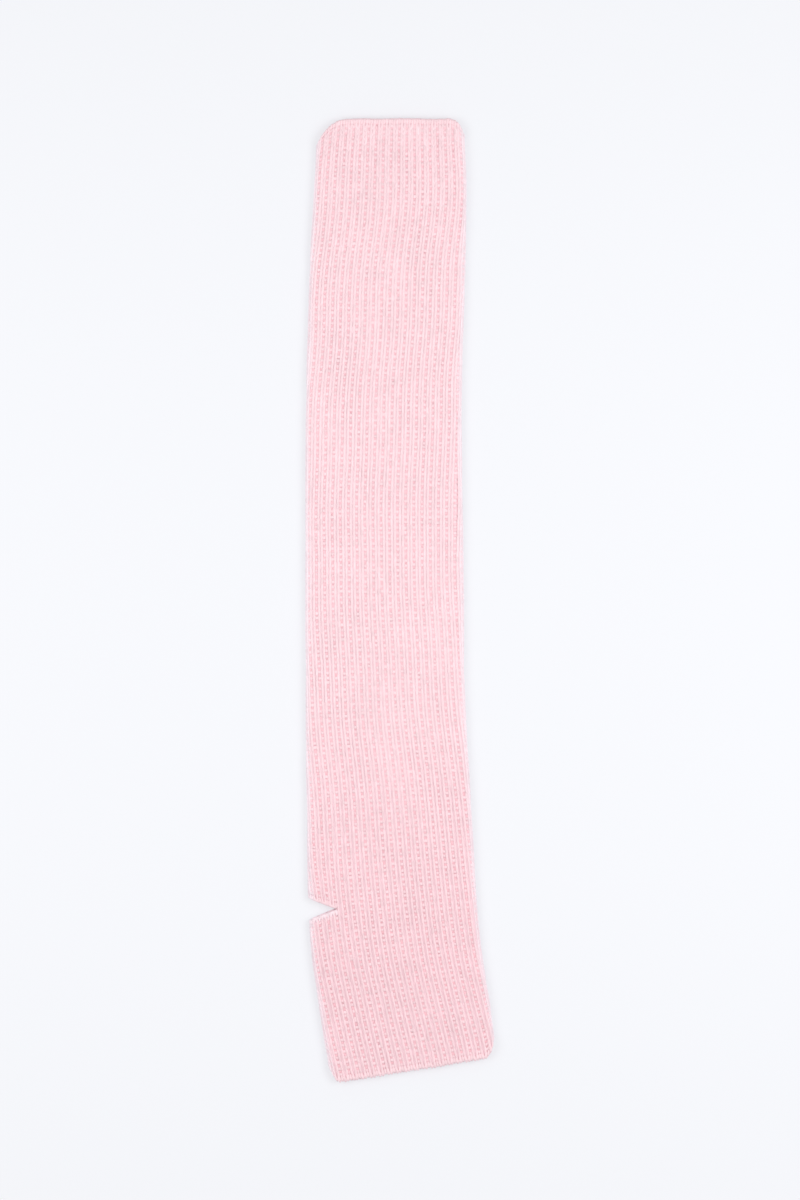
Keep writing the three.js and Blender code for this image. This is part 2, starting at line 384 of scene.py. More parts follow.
# What a change in the pitch of the ribs does to the yarn. The powers are of the stretch, which
# is the pitch as a share of the usual one. The shares are for a change of 1 in the stretch, and
# less in proportion.
USUAL_RIB = 5.7  # the pitch at which the strands lie as they are drawn
SPREAD = 3.0  # power by which the strands of a wider rib lie further apart
CLOSE_UP = 1.0  # power by which those of a narrower rib lie closer together
THINS = -0.8  # power by which the yarn of a wider rib is thinner
# The three below are painted shade: they darken the cloth towards the foot and the knee, where the
# ribs are wider or narrower than usual.
TAUT_PAINTED_DIMMING = 0.35  # share of its lightness that the yarn of a wider rib loses, as painted shade
TAUT_SHADE = 4.6  # share of the hollows' painted shade that it takes on
CLOSE_SHADE = 3.2  # and that the yarn of a narrower rib takes on, also painted shade

# How far loose copies of a strand stray from their places: as standard deviations, in
# millimetres across, along and out of the cloth, and as shares of their length and thickness.
Stray = namedtuple("Stray", "across along out length thickness")
STRAY = Stray(across=0.06, along=0.2, out=0.06, length=0.02, thickness=0.05)
UNEVEN_TONE = 0.022  # standard deviation of the lightness between one strand and the next

# How the cloth as a whole is uneven: size in millimetres, reach of the waves along it, how far
# the waves of neighbouring ribs differ, and seed.
Drift = namedtuple("Drift", "size reach across seed")
LIFTS = Drift(0.05, 90.0, 1.0, 11)  # in and out of the cloth
SLIDES = Drift(0.25, 45.0, 1.5, 13)  # along it

# Copies of one kind of strand: u and y are where each one lies, side is which side of the slot that
# is, looseness scales STRAY, limits are the courses that they stay between, and the last is the least
# share of the pale fibre-and-sheen colour that they take on.
Group = namedtuple("Group", "kind u y side looseness limits bloom", defaults=(None, 0.0))


def mesh_piece(name, points, corners, starts, material, layers):
    """A mesh object of points in millimetres and faces, with its maps and attributes."""
    mesh = bpy.data.meshes.new(name)
    mesh.vertices.add(len(points))
    mesh.vertices.foreach_set("co", (points * MM).astype(np.float32).ravel())
    mesh.loops.add(len(corners))
    mesh.loops.foreach_set("vertex_index", corners.astype(np.int32))
    mesh.polygons.add(len(starts))
    mesh.polygons.foreach_set("loop_start", starts.astype(np.int32))
    mesh.update(calc_edges=True)
    mesh.validate()
    mesh.polygons.foreach_set("use_smooth", np.ones(len(mesh.polygons), bool))
    for layer, values in layers.items():
        if values.ndim == 2:
            uv = mesh.uv_layers.new(name=layer)
            uv.data.foreach_set("uv", values.astype(np.float32).ravel())
        else:
            attribute = mesh.attributes.new(layer, "FLOAT", "POINT")
            attribute.data.foreach_set("value", values.astype(np.float32))
    mesh.materials.append(material)
    piece = bpy.data.objects.new(name, mesh)
    bpy.context.scene.collection.objects.link(piece)
    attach(piece, "root")
    return piece


def spread(stretch):
    """How much further apart than drawn the strands of a stretched rib lie."""
    return stretch ** np.where(stretch > 1, SPREAD, CLOSE_UP)


def stretch_shade(stretch):
    """How far yarn takes on the painted shade of the hollows where ribs are stretched or drawn in,
    which darkens both ends of the tube.
    """
    taut, close = np.clip(stretch - 1, 0, None), np.clip(1 - stretch, 0, None)
    return TAUT_SHADE * taut + CLOSE_SHADE * close


def strand_places(tube, group, stretch, stray):
    """Where each point of each copy of a strand lies: ribs round, course, and depth."""
    kind = group.kind
    across, along, out = kind.points.T
    rib = tube.section(group.y).rib
    thick = stretch**THINS * (1 + stray.thickness)
    beside = kind.middle[None] * spread(stretch)[:, None]
    beside = beside + (across - kind.middle)[None] * thick[:, None]
    u = group.u[:, None] + (beside + stray.across[:, None]) / rib[:, None]
    y = (group.y + stray.along)[:, None] + along[None] * (1 + stray.length)[:, None]
    depth = -out[None] + stray.out[:, None]
    depth = depth + LIFTS.size * drift(LIFTS.seed, u * LIFTS.across, y, LIFTS.reach)
    y = y + SLIDES.size * drift(SLIDES.seed, u * SLIDES.across, y, SLIDES.reach)
    if group.limits is not None:
        y = np.clip(y, group.limits[0][:, None], group.limits[1][:, None])
    return u, y, np.clip(depth, 0.0, tube.wall - INSIDE_CLEAR)


def strand_maps(kind, cells, first, begins):
    """The two maps of the copies of a strand: their own cells, and the turns of their plies."""
    cell = first + np.arange(len(begins))
    corner = np.stack([cell % cells, cell // cells], -1)
    inner = CELL_MARGIN + (1 - 2 * CELL_MARGIN) * np.stack([kind.around, kind.along], -1)
    turns = np.stack([kind.around, kind.along * kind.length * PLY_TURNS], -1)
    start = np.stack([np.zeros(len(begins)), begins], -1)
    own = (corner[:, None] + inner[None]) / cells
    return own.reshape(-1, 2), (turns[None] + start[:, None]).reshape(-1, 2)


def knit_strands(name, tube, groups, material, seed):
    """One mesh of many strands, copied as a list of Group rows says."""
    draw = np.random.default_rng(seed)
    columns = {key: [] for key in ("points", "corners", "starts", *STRAND_LAYERS)}
    cells = math.ceil(math.sqrt(sum(len(group.u) for group in groups)))
    placed_points = placed_corners = placed = 0
    for group in groups:
        kind, count = group.kind, len(group.u)
        stretch = tube.section(group.y).rib / USUAL_RIB
        along, length, out, thickness, across = draw.normal(0, 1, (5, count)) * group.looseness
        stray = Stray(
            STRAY.across * across, STRAY.along * along, STRAY.out * out,
            STRAY.length * length, STRAY.thickness * thickness,
        )
        u, y, depth = strand_places(tube, group, stretch, stray)
        own, twist = strand_maps(kind, cells, placed, draw.uniform(0, 1, count))
        # Painted shade: the yarn of a wider rib is darkened; the rest of its tone differs at random.
        painted_dimming = 1 - TAUT_PAINTED_DIMMING * np.clip(stretch - 1, 0, None)
        tone_and_shade = painted_dimming + UNEVEN_TONE * draw.normal(0, 1, count)
        each = np.arange(count)[:, None]
        points_each, corners_each = len(kind.points), len(kind.corners)
        for key, values in (
            ("points", tube.point(u, y, depth, group.side[:, None]).reshape(-1, 3)),
            ("corners", (kind.corners[None] + placed_points + points_each * each).ravel()),
            ("starts", (kind.starts[None] + placed_corners + corners_each * each).ravel()),
            (MAP, own),
            ("twist", twist),
            ("shade", depth.ravel() / tube.wall),
            ("stretch_shade", np.repeat(stretch_shade(stretch), points_each)),
            ("tone_and_shade", np.repeat(tone_and_shade, points_each)),
            # painted sheen at the folds, and at least the group's own share of the pale colour
            ("bloom", np.maximum(tube.turned_down(u, y), group.bloom).ravel()),
        ):
            columns[key].append(values)
        placed_points += points_each * count
        placed_corners += corners_each * count
        placed += count
    joined = {key: np.concatenate(values) for key, values in columns.items()}
    points, corners, starts = (joined.pop(key) for key in ("points", "corners", "starts"))
    return mesh_piece(name, points, corners, starts, material, joined)


# ---------------------------------------------------------------- materials


def add_node(material, kind, settings=None, links=None):
    """Adds a node: settings are its properties or inputs, and links are sockets to its inputs."""
    node = material.node_tree.nodes.new(kind)
    for key, value in (settings or {}).items():
        if isinstance(key, str) and hasattr(node, key):
            setattr(node, key, value)
        else:
            node.inputs[key].default_value = value
    for key, socket in (links or {}).items():
        material.node_tree.links.new(socket, node.inputs[key])
    return node


def new_material(name):
    """An empty material, and its output node."""
    material = bpy.data.materials.new(name)
    material.use_nodes = True
    material.node_tree.nodes.clear()
    return material, add_node(material, "ShaderNodeOutputMaterial")


def finish_material(material, output, shader):
    """Joins the shader to the output, and gives the material back."""
    material.node_tree.links.new(shader.outputs[0], output.inputs["Surface"])
    return material


# Where the yarn's colour turns from the crest's to the painted shade of the hollows, as shares of the
# wall's depth.
DEEP_FROM, DEEP_BY = 0.15, 0.62
PAINTED_SHEEN_COVERS = 0.85  # how much of the yarn's colour the pale fibre-and-sheen colour hides where it shows most
PATCHES = 28.0  # in a metre, of slightly lighter and darker cloth: about 36 mm each
PATCH_RANGE = 0.06  # from the darkest patch to the lightest
PLIES = 2.0
FIBRE_TUFT = 0.625  # in millimetres: real fibres are too fine to show, so they are drawn as tufts
YARN_BUMP = 0.3  # height of the plies and the tufts
PLY_OVER_TUFT = 1.6


def plied_acrylic(name, colours):
    """Plied acrylic yarn, soft and slightly brushed: matt, with a faint sheen of loose fibre.

    It is palest on the crest of a rib. The hollows are painted a deeper pink than the crests, as
    painted shade for light that has gone between the strands, and the folds are painted paler and
    greyer, as painted sheen.
    """
    material, output = new_material(name)
    shade, taut, tone_and_shade, bloom = (
        add_node(material, "ShaderNodeAttribute", {"attribute_name": layer})
        for layer in ("shade", "stretch_shade", "tone_and_shade", "bloom")
    )
    twist = add_node(material, "ShaderNodeUVMap", {"uv_map": "twist"})
    place = add_node(material, "ShaderNodeTexCoord")
    deep = add_node(
        material, "ShaderNodeMapRange",
        {"From Min": DEEP_FROM, "From Max": DEEP_BY, "interpolation_type": "SMOOTHSTEP"},
        {"Value": shade.outputs["Fac"]},
    )
    # Painted shade: the hollow colour is mixed in by how deep the yarn lies and by the stretch of the
    # ribs.
    hollow_shade = add_node(
        material, "ShaderNodeMath", {"operation": "ADD", "use_clamp": True},
        {0: deep.outputs[0], 1: taut.outputs["Fac"]},
    )
    colour = add_node(
        material, "ShaderNodeMix",
        {"data_type": "RGBA", 6: (*colours.crest, 1), 7: (*colours.hollow_shade, 1)},
        {0: hollow_shade.outputs[0]},
    )
    # Painted sheen: the pale colour is mixed in where the cloth turns over a fold, and it greys the
    # slot's lower lip and the middle of each rib.
    painted_sheen_share = add_node(
        material, "ShaderNodeMath", {"operation": "MULTIPLY", 1: PAINTED_SHEEN_COVERS},
        {0: bloom.outputs["Fac"]},
    )
    at_folds = add_node(
        material, "ShaderNodeMix", {"data_type": "RGBA", 7: (*colours.bloom, 1)},
        {0: painted_sheen_share.outputs[0], 6: colour.outputs[2]},
    )
    patches = add_node(
        material, "ShaderNodeTexNoise", {"Scale": PATCHES, "Detail": 2.0},
        {"Vector": place.outputs["Object"]},
    )
    uneven = add_node(
        material, "ShaderNodeMath",
        {"operation": "MULTIPLY_ADD", 1: PATCH_RANGE, 2: 1 - PATCH_RANGE / 2},
        {0: patches.outputs["Fac"]},
    )
    patch = add_node(
        material, "ShaderNodeMath", {"operation": "MULTIPLY"},
        {0: tone_and_shade.outputs["Fac"], 1: uneven.outputs[0]},
    )
    value = add_node(
        material, "ShaderNodeHueSaturation", {},
        {"Value": patch.outputs[0], "Color": at_folds.outputs[2]},
    )
    # The plies run round the yarn as they run along it, and each shows as a soft ridge.
    parts = add_node(material, "ShaderNodeSeparateXYZ", {}, {0: twist.outputs[0]})
    plies = add_node(
        material, "ShaderNodeMath", {"operation": "MULTIPLY_ADD", 1: PLIES},
        {0: parts.outputs["X"], 2: parts.outputs["Y"]},
    )
    ridge = add_node(
        material, "ShaderNodeMath", {"operation": "PINGPONG", 1: 0.5}, {0: plies.outputs[0]}
    )
    fibre = add_node(
        material, "ShaderNodeTexNoise",
        {"Scale": 1 / (FIBRE_TUFT * MM), "Detail": 3.0, "Roughness": 0.6},
        {"Vector": place.outputs["Object"]},
    )
    relief = add_node(
        material, "ShaderNodeMath", {"operation": "MULTIPLY_ADD", 1: PLY_OVER_TUFT},
        {0: ridge.outputs[0], 2: fibre.outputs["Fac"]},
    )
    bump = add_node(
        material, "ShaderNodeBump", {"Strength": 0.35, "Distance": YARN_BUMP * MM},
        {"Height": relief.outputs[0]},
    )
    shader = add_node(
        material, "ShaderNodeBsdfPrincipled",
        {
            "Roughness": 0.92, "Specular IOR Level": 0.25, "Sheen Weight": 0.25,
            "Sheen Roughness": 0.6, "Sheen Tint": (*linear("#fff8fc"), 1),
        },
        {"Base Color": value.outputs[0], "Normal": bump.outputs[0]},
    )
    return finish_material(material, output, shader)


def lit_board(colours):
    """A light table of white acrylic, lit from above and faintly from below: even and matt."""
    material, output = new_material("lit_white_acrylic")
    shader = add_node(
        material, "ShaderNodeBsdfPrincipled",
        {
            "Base Color": (*colours.board, 1), "Roughness": 0.9, "Specular IOR Level": 0.1,
            "Emission Color": (*colours.board_glow, 1), "Emission Strength": 0.49,
        },
    )
    return finish_material(material, output, shader)


def yarn_material():
    """The one yarn of the whole knit."""
    return bpy.data.materials.get("plied_acrylic_yarn") or plied_acrylic(
        "plied_acrylic_yarn", bpy.context.scene.leg_warmer_colours
    )


# ---------------------------------------------------------------- the ground of the knit


# Across a rib, from one hollow to the next: how deep the ground lies under the strands, the share by
# which it deepens where the ribs are stretched to twice their width, and how much of the pale
# fibre-and-sheen colour it takes on.
Ground = namedtuple("Ground", "share depth deepens bloom")
GROUND = (
    Ground(0, 1.46, 0.7, 0),
    Ground(0.16, 1.42, 0.7, 0),
    Ground(0.34, 0.99, 4.4, 0.6),
    Ground(0.66, 0.99, 4.4, 0.6),
    Ground(0.84, 1.42, 0.7, 0),
)
FOLD_RISES = 0.35  # share by which it lies less deep where the cloth has turned over a fold
KNEE_RISES, KNEE_REACH = 0.2, 24.0  # and at the knee edge, and how far that reaches
GROUND_INSIDE = 2.9  # depth of its inner face
GROUND_BACK = 1.1  # by which the ground stops short of an edge, under the strands that turn it
EDGE_OUTER, EDGE_INNER = 1.35, 2.25  # depths of its two faces there
RIBBED_FROM, RIBBED_BY = 2.0, 4.5  # in from there, where the hollows begin and are full
EDGE_ROWS = np.array([0, 1.5, 3, 5, 8])  # rows of points beside an edge
GROUND_ROW = 9.0  # between the rows elsewhere
FAR = 1e9  # further than any place lies from any other
HAIR = 1e-6  # what two equal places may differ by


def ground_rows():
    """The courses that the ground has its points on, in each part of the tube."""
    rows = []
    for part in PARTS:
        low, high = part.low + GROUND_BACK, part.high - GROUND_BACK
        between = np.arange(low + EDGE_ROWS[-1], high - EDGE_ROWS[-1], GROUND_ROW)[1:]
        rows.append(np.concatenate([low + EDGE_ROWS, between, (high - EDGE_ROWS)[::-1]]))
    return rows


def ground_depths(tube, u, y, stretch):
    """How deep the outer and the inner face of the ground lie, on a grid of places."""
    from_slot = np.where(np.abs(u) <= HALF_SLOT + HAIR, np.abs(y - SLOT.y), FAR)
    from_edge = np.minimum(np.minimum(y - FOOT_Y, KNEE_Y - y), from_slot) - GROUND_BACK
    ribbed = smooth_step(RIBBED_FROM, RIBBED_BY, from_edge)
    depth = np.tile([ground.depth for ground in GROUND], tube.ribs)
    deepens = np.tile([ground.deepens for ground in GROUND], tube.ribs)
    depth = depth * (1 + deepens * (stretch - 1))
    depth = depth * (1 - FOLD_RISES * tube.turned_down(u, y))
    depth = depth * (1 - KNEE_RISES * clamp01(1 - (KNEE_Y - y) / KNEE_REACH))
    outer = EDGE_OUTER + (depth - EDGE_OUTER) * ribbed
    return outer, EDGE_INNER + (GROUND_INSIDE - EDGE_INNER) * ribbed


def ground_faces(outer, inner, above, goes_on):
    """The four-sided faces of a wall, on the two tables of its points' numbers.

    above is the first row above the slot, and goes_on says for each column whether the cloth
    goes on there from the row below the slot to that one.
    """
    faces = []

    def add(quads, flipped):
        """Adds some faces, turned over or not."""
        faces.append(quads[:, ::-1] if flipped else quads)

    # The two skins, which are open between the two rows at the slot.
    keep = np.ones((len(outer) - 1, len(goes_on)), bool)
    keep[above - 1] = goes_on
    for table, flipped in ((outer, False), (inner, True)):
        right = np.roll(table, -1, 1)
        add(np.stack([table[:-1], right[:-1], right[1:], table[1:]], -1)[keep], flipped)
    # The edges, which join the one skin to the other.
    everywhere = np.ones(len(goes_on), bool)
    foot, knee = (0, everywhere, False), (-1, everywhere, True)
    upper_lip, lower_lip = (above, ~goes_on, False), (above - 1, ~goes_on, True)
    for row, wanted, flipped in (foot, knee, upper_lip, lower_lip):
        outer_right, inner_right = np.roll(outer[row], -1), np.roll(inner[row], -1)
        add(np.stack([outer[row], inner[row], inner_right, outer_right], -1)[wanted], flipped)
    # The two ends of the slot.
    inside = np.flatnonzero(~goes_on)
    for column, flipped in ((inside[0], False), (inside[-1] + 1, True)):
        low, high = above - 1, above
        quad = [outer[low, column], outer[high, column], inner[high, column], inner[low, column]]
        add(np.array([quad]), flipped)
    return np.concatenate(faces)


def knit_ground(tube, material):
    """The cloth under the strands: one closed wall, hollowed between the ribs."""
    rows = ground_rows()
    y = np.concatenate(rows)
    side = np.repeat([part.side for part in PARTS], [len(row) for row in rows])
    hollows = np.arange(tube.ribs) - tube.ribs / 2 + 0.5
    u = (hollows[:, None] + np.array([ground.share for ground in GROUND])).ravel()
    u_grid, y_grid = np.meshgrid(u, y)
    stretch = tube.section(y_grid).rib / USUAL_RIB
    depths = ground_depths(tube, u_grid, y_grid, stretch)
    skins = [tube.point(u_grid, y_grid, depth, side[:, None]).reshape(-1, 3) for depth in depths]
    outer = np.arange(u_grid.size).reshape(u_grid.shape)
    between = (u + np.roll(u, -1)) / 2
    between[-1] = tube.ribs / 2  # from the last column the cloth goes on to the first
    faces = ground_faces(outer, outer + outer.size, len(rows[0]), np.abs(between) > HALF_SLOT)
    layers = {
        "shade": np.concatenate([depth.ravel() for depth in depths]) / tube.wall,
        # The ground takes on the same painted shade where its ribs are stretched or drawn in.
        "stretch_shade": np.tile(stretch_shade(stretch).ravel(), 2),
        "tone_and_shade": np.ones(2 * u_grid.size),
        "bloom": np.tile([ground.bloom for ground in GROUND], tube.ribs * len(y) * 2),
    }
    starts = np.arange(0, faces.size, 4)
    return mesh_piece("knit_ground", np.concatenate(skins), faces.ravel(), starts, material, layers)


# ---------------------------------------------------------------- stitches


# The leg of a knit stitch. In millimetres: how far from the middle of its rib it starts, how far
# it leans out on its way up, how far it bows, and how far its ends go under. In courses: where it
# starts, from the foot edge of its own course, and how long it is. As shares: how thick its yarn
# is for its width, and how thin its tips are.
Leg = namedtuple("Leg", "across leans bows dives starts long squash tip")
LEG = Leg(across=0.9, leans=0.4, bows=0.03, dives=0.5, starts=-0.25, long=1.5, squash=0.92, tip=0.74)
LEANS_FROM, LEANS_BY = -0.1, 1.1  # the shares of its way up between which it leans
DIVE_POWER = 1.5  # how suddenly its ends go under
CREST_CLEAR = 0.02  # how far the yarn lies below the crest of the ribs


def leg(tube, sides, rings):
    """The right leg of a knit stitch: it leans outwards as it goes up, and its ends go under."""
    t = np.linspace(0, 1, rings)
    swell = 1 - (2 * t - 1) ** 2
    radius = tube.yarn / 2
    across = LEG.across + LEG.leans * smooth_step(LEANS_FROM, LEANS_BY, t) + LEG.bows * swell
    along = (LEG.long * t + LEG.starts) * tube.course
    out = -(LEG.squash * radius + CREST_CLEAR) - LEG.dives * (1 - swell) ** DIVE_POWER
    radii = radius * (LEG.tip + (1 - LEG.tip) * swell)
    return strand(np.stack([across, along, out], -1), radii, sides, (1, 0, 0), LEG.squash)


# The bump of a purl stitch: its path across the hollow, and its radius along the cloth.
Bar = namedtuple("Bar", "across along out radius")
PURL_BAR = (
    Bar(-1.4, 0.2, -1.65, 1.4),
    Bar(0, -0.1, -1.48, 1.52),
    Bar(1.4, 0.2, -1.65, 1.4),
)
BAR_SQUASH = 0.64  # how thick it is for that


def purl_bar(sides):
    """The bump of a purl stitch, which crosses the hollow between two ribs."""
    path = [place[:3] for place in PURL_BAR]
    return strand(path, [place.radius for place in PURL_BAR], sides, (0, 1, 0), BAR_SQUASH)


def courses(tube):
    """The foot edge of every course, which side of the slot it is on, and that part's two ends."""
    parts = []
    for part in PARTS:
        count = round((part.high - part.low) / tube.course)
        starts = part.low + (part.high - part.low) * np.arange(count) / count
        parts.append([starts, *(np.full(count, value) for value in part)])
    return [np.concatenate(column) for column in zip(*parts)]


def rib_middles(tube):
    """The middle of each rib, in ribs round from the left fold."""
    return np.arange(tube.ribs) - tube.ribs / 2 + 1


EDGE_BAND = 3.2  # the strands that turn an edge cover this much of the cloth beside it
LEG_BAND = 0.9  # the legs of the stitches go on under them, up to here
BAR_BAND = EDGE_BAND + 0.6  # and the purl bars stay clear of them
LEG_LOOSE, BAR_LOOSE, LOOP_LOOSE = 1.0, 1.7, 0.5  # how far they stray, in shares of STRAY
LAYER_OVERLAP = 0.9  # ribs by which the upper layer's strands go on past the middle of a fold


def places(tube, offset, upper, band, from_y=FOOT_Y, to_y=KNEE_Y):
    """Where the stitches of each rib lie, offset ribs from its middle, on one layer.

    They keep out of the band beside each edge, and their points stay out of it too.
    """
    y, side, low, high = courses(tube)
    u, y = np.meshgrid(rib_middles(tube) + offset, y)
    side, low, high = (np.repeat(column[:, None], tube.ribs, 1) for column in (side, low, high))
    over = u - tube.section(y).roll
    over = over - tube.ribs * np.round((over - tube.ribs / 4) / tube.ribs)
    on_upper = (over > -LAYER_OVERLAP) & (over < tube.ribs / 2 + LAYER_OVERLAP)
    in_slot = np.abs(u) < HALF_SLOT
    stop_low = np.where((low == FOOT_Y) | in_slot, low + band, -FAR)
    stop_high = np.where((high == KNEE_Y) | in_slot, high - band, FAR)
    middle = y + tube.course / 2
    keep = (on_upper == upper) & (y >= from_y - HAIR) & (y < to_y - HAIR)
    keep &= (middle > stop_low) & (middle < stop_high)
    return u[keep], y[keep], side[keep], (stop_low[keep], stop_high[keep])


# The runs that the stitches are made in, each with the sides round its yarn and the rings along
# a leg. The underside, which lies on the floor, is plainer.
Run = namedtuple("Run", "name upper low high sides rings seed")
FOOT_TO_CALF = -110.0
CALF_TO_KNEE = 112.0
RUNS = (
    Run("stitches_foot", True, FOOT_Y, FOOT_TO_CALF, 6, 5, 20),
    Run("stitches_calf", True, FOOT_TO_CALF, CALF_TO_KNEE, 6, 5, 21),
    Run("stitches_knee", True, CALF_TO_KNEE, KNEE_Y, 6, 5, 22),
    Run("stitches_underside", False, FOOT_Y, KNEE_Y, 4, 4, 30),
)


def stitches(tube, material, run):
    """The knit stitches of one run of the ribs, two legs each."""
    right = leg(tube, run.sides, run.rings)
    u, y, side, limits = places(tube, 0.0, run.upper, LEG_BAND, run.low, run.high)
    groups = [Group(kind, u, y, side, LEG_LOOSE, limits) for kind in (right, mirrored(right))]
    return knit_strands(run.name, tube, groups, material, run.seed)


def purl_bars(name, tube, material, upper, sides, seed):
    """The purl bumps in the hollows of one layer."""
    u, y, side, limits = places(tube, 0.5, upper, BAR_BAND)
    y = y + tube.course / 2
    group = Group(purl_bar(sides), u, y, side, BAR_LOOSE, limits)
    return knit_strands(name, tube, [group], material, seed)


EDGE_SIDES = 8
# The strands that turn an edge: how many ribs they lie from the middle of one, their radii, and
# whether they are scalloped, which is to stand proud of the edge.
Loop = namedtuple("Loop", "offset radius scalloped")
LOOPS = (Loop(-0.17, 1.02, True), Loop(0.17, 1.02, True), Loop(0.5, 1.0, False))

# The path of such a strand, from the outside of the cloth to the inside. How far it lies in from
# the edge is a share of the band, a share of its outermost place, and past millimetres. How deep
# it lies is a share of its radius, and below millimetres. thick is a share of its radius.
Bend = namedtuple("Bend", "band outermost past radii below thick")
LOOP_BENDS = (
    Bend(1, 0, 1.6, 0, 1.75, 0.6),
    Bend(1, 0, 0, 0, 1.0, 0.95),
    Bend(0.55, 0, 0, 1, 0.03, 1),
    Bend(0, 1, 0.55, 1, 0.12, 1),
    Bend(0, 1, 0, 0, 1.5, 0.92),
    Bend(0, 1, 0.55, 0, 2.1, 0.85),
    Bend(0, 1, 2.2, 0, 2.25, 0.7),
)


def edge_loop(radius, proud, facing):
    """A strand that turns an edge from the outside of the cloth to the inside."""
    outermost = radius + CREST_CLEAR - proud
    path = []
    for bend in LOOP_BENDS:
        inwards = bend.band * EDGE_BAND + bend.outermost * outermost + bend.past
        path.append((0, facing * inwards, -radius * bend.radii - bend.below))
    return strand(path, [bend.thick * radius for bend in LOOP_BENDS], EDGE_SIDES, (1, 0, 0))


# The strand along an edge: how far it lies in from the edge, how deep, and its radius. Then how much
# of the pale fibre-and-sheen colour the edge takes on, and scallop is how far its scalloped strands
# stand proud.
# An open edge has this strand inside those that turn it. A lip has it level with them.
Rim = namedtuple("Rim", "inset depth radius bloom scallop")
KNEE_RIM = Rim(1.5, 1.5, 0.95, 0, 0)
FOOT_RIM = Rim(1.5, 1.5, 0.95, 0, 0.6)
LOWER_LIP = Rim(1.45, 1.45, 1.4, 0.7, 0)
UPPER_LIP = Rim(1.25, 1.3, 1.2, 0, 0)
RIM_RINGS = 4

# The edges: where each lies, which way the cloth lies from it (1 is above it, -1 below it), which
# side of the slot it is on, and its rim.
Edge = namedtuple("Edge", "name y facing side rim seed")
EDGES = (
    Edge("knee_edge", KNEE_Y, -1, 1, KNEE_RIM, 50),
    Edge("foot_edge", FOOT_Y, 1, -1, FOOT_RIM, 51),
    Edge("slot_lip_foot_side", SLOT.y, -1, -1, LOWER_LIP, 52),
    Edge("slot_lip_knee_side", SLOT.y, 1, 1, UPPER_LIP, 53),
)


def rim_strand(tube, edge):
    """The strand that lies along an edge: the length of it on one rib, up to the next rib's."""
    rib, rim = tube.section(edge.y).rib, edge.rim
    half = 0.5 * rib / spread(rib / USUAL_RIB)
    path = [(x, edge.facing * rim.inset, -rim.depth) for x in np.linspace(-half, half, RIM_RINGS)]
    return strand(path, np.full(RIM_RINGS, rim.radius), EDGE_SIDES, (0, 0, 1))


def edge_strands(tube, material, edge, ribs):
    """The strands that turn one edge, two on each rib and one between two, and that along it."""
    y = np.full(len(ribs), edge.y)
    side = np.full(len(ribs), edge.side)
    bloom = edge.rim.bloom
    groups = []
    for loop in LOOPS:
        kind = edge_loop(loop.radius, edge.rim.scallop if loop.scalloped else 0, edge.facing)
        groups.append(Group(kind, ribs + loop.offset, y, side, LOOP_LOOSE, bloom=bloom))
    groups.append(Group(rim_strand(tube, edge), ribs, y, side, 0.0, bloom=bloom))
    return knit_strands(edge.name, tube, groups, material, edge.seed)


# ---------------------------------------------------------------- operators


def tube_and_yarn():
    """What every operator starts from."""
    return LaidTube(bpy.context.scene.leg_warmer_sizes), yarn_material()


class LEGWARMER_OT_ground(bpy.types.Operator):
    """Makes the cloth under the strands, which stands for the CAD solid"""

    bl_idname = "leg_warmer.ground"
    bl_label = "Ground"

    def execute(self, context):
        tube, yarn = tube_and_yarn()
        knit_ground(tube, yarn)
        return {"FINISHED"}


class LEGWARMER_OT_stitches(bpy.types.Operator):
    """Knits the ribs of the upper layer in three runs, and those of the underside in one"""

    bl_idname = "leg_warmer.stitches"
    bl_label = "Rib stitches"

    def execute(self, context):
        tube, yarn = tube_and_yarn()
        for run in RUNS:
            stitches(tube, yarn, run)
        return {"FINISHED"}


class LEGWARMER_OT_purls(bpy.types.Operator):
    """Lays the purl bumps in the hollows between the ribs"""

    bl_idname = "leg_warmer.purls"
    bl_label = "Purl bumps"

    def execute(self, context):
        tube, yarn = tube_and_yarn()
        purl_bars("purl_bumps_upper", tube, yarn, upper=True, sides=5, seed=40)
        purl_bars("purl_bumps_underside", tube, yarn, upper=False, sides=4, seed=41)
        return {"FINISHED"}


class LEGWARMER_OT_edges(bpy.types.Operator):
    """Turns the knee edge, the foot edge and the two lips of the heel slot"""

    bl_idname = "leg_warmer.edges"
    bl_label = "Edges"

    def execute(self, context):
        tube, yarn = tube_and_yarn()
        every = rib_middles(tube)
        in_slot = every[np.abs(every) < HALF_SLOT]
        for edge in EDGES:
            edge_strands(tube, yarn, edge, in_slot if edge.y == SLOT.y else every)
        return {"FINISHED"}


class LEGWARMER_OT_declare(bpy.types.Operator):
    """Hides the CAD solid that the cloth stands for"""

    bl_idname = "leg_warmer.declare"
    bl_label = "Declare the cloth"

    def execute(self, context):
        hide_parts(SOLID)
        return {"FINISHED"}


# The studio, in metres and watts.
FLOOR_SIZE = 12
SKY_STRENGTH = 0.685
Softbox = namedtuple("Softbox", "name place size watts")
SOFTBOXES = (
    Softbox("key_softbox", (0.75, 0.0, 0.95), 0.7, 5.2),
    Softbox("fill_softbox", (-0.75, 0.0, 0.95), 0.7, 4.2),
)
LENS, SENSOR = 100.0, 36.0  # of the camera, in millimetres
SEEN = 0.834  # the length of floor that it sees
CLIP_END = 50


